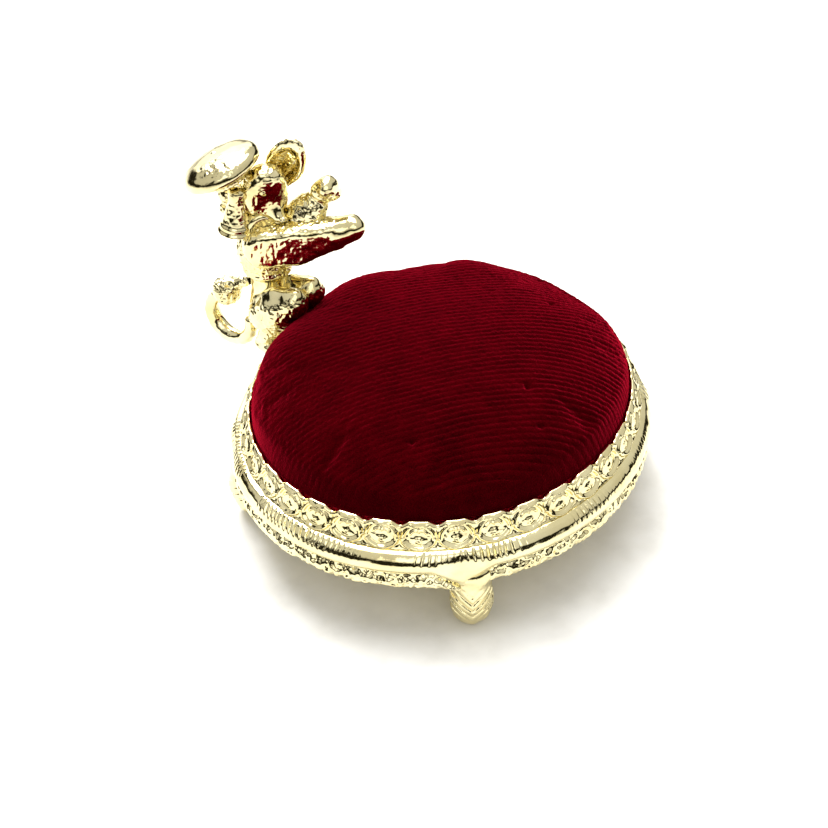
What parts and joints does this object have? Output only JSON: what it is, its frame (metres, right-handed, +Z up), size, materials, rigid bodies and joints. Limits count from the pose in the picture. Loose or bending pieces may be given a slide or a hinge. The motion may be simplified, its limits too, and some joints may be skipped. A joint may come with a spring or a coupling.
{
  "type": "pin cushion",
  "caption": "Oval velvet pin cushion on a gilt footed stool, with a begging poodle in a beret standing on the rim.",
  "frame": {"origin": "middle of the footprint on the table; the oval's own centre lies 6.8 mm towards -Y", "axes": "+X along the oval's long axis, +Y towards the poodle, which faces -Y over the cushion, +Z up"},
  "size_m": [0.067, 0.0746, 0.0493],
  "materials": {
    "gilt_stool": "bright pale gold plating over a white-metal casting",
    "gilt_poodle": "bright pale gold plating, stippled coat",
    "velvet": "crimson ribbed velvet",
    "stuffing": "packed cotton wadding",
    "board": "plain grey-brown pressed board",
    "thread": "waxed sewing thread",
    "base_plate": "thin gilt-washed tinplate",
    "steel": "plated steel"
  },
  "bodies": {
    "root": {"stool_ring": "gilt_stool", "gallery_band": "gilt_stool", "foot_front_left": "gilt_stool", "foot_front_right": "gilt_stool", "foot_back_left": "gilt_stool", "foot_back_right": "gilt_stool", "poodle_torso": "gilt_poodle", "poodle_head": "gilt_poodle", "poodle_beret": "gilt_poodle", "ear_raised": "gilt_poodle", "ear_hanging": "gilt_poodle", "foreleg_right": "gilt_poodle", "foreleg_left": "gilt_poodle", "hind_leg_right": "gilt_poodle", "hind_leg_left": "gilt_poodle", "tail_curl": "gilt_poodle", "tail_pompom": "gilt_poodle", "velvet_cover": "velvet", "cushion_stuffing": "stuffing", "cushion_board": "board", "gathering_thread": "thread", "base_plate": "base_plate", "centre_screw": "steel", "screw_washer": "steel", "screw_nut": "steel"}
  },
  "joints": []
}
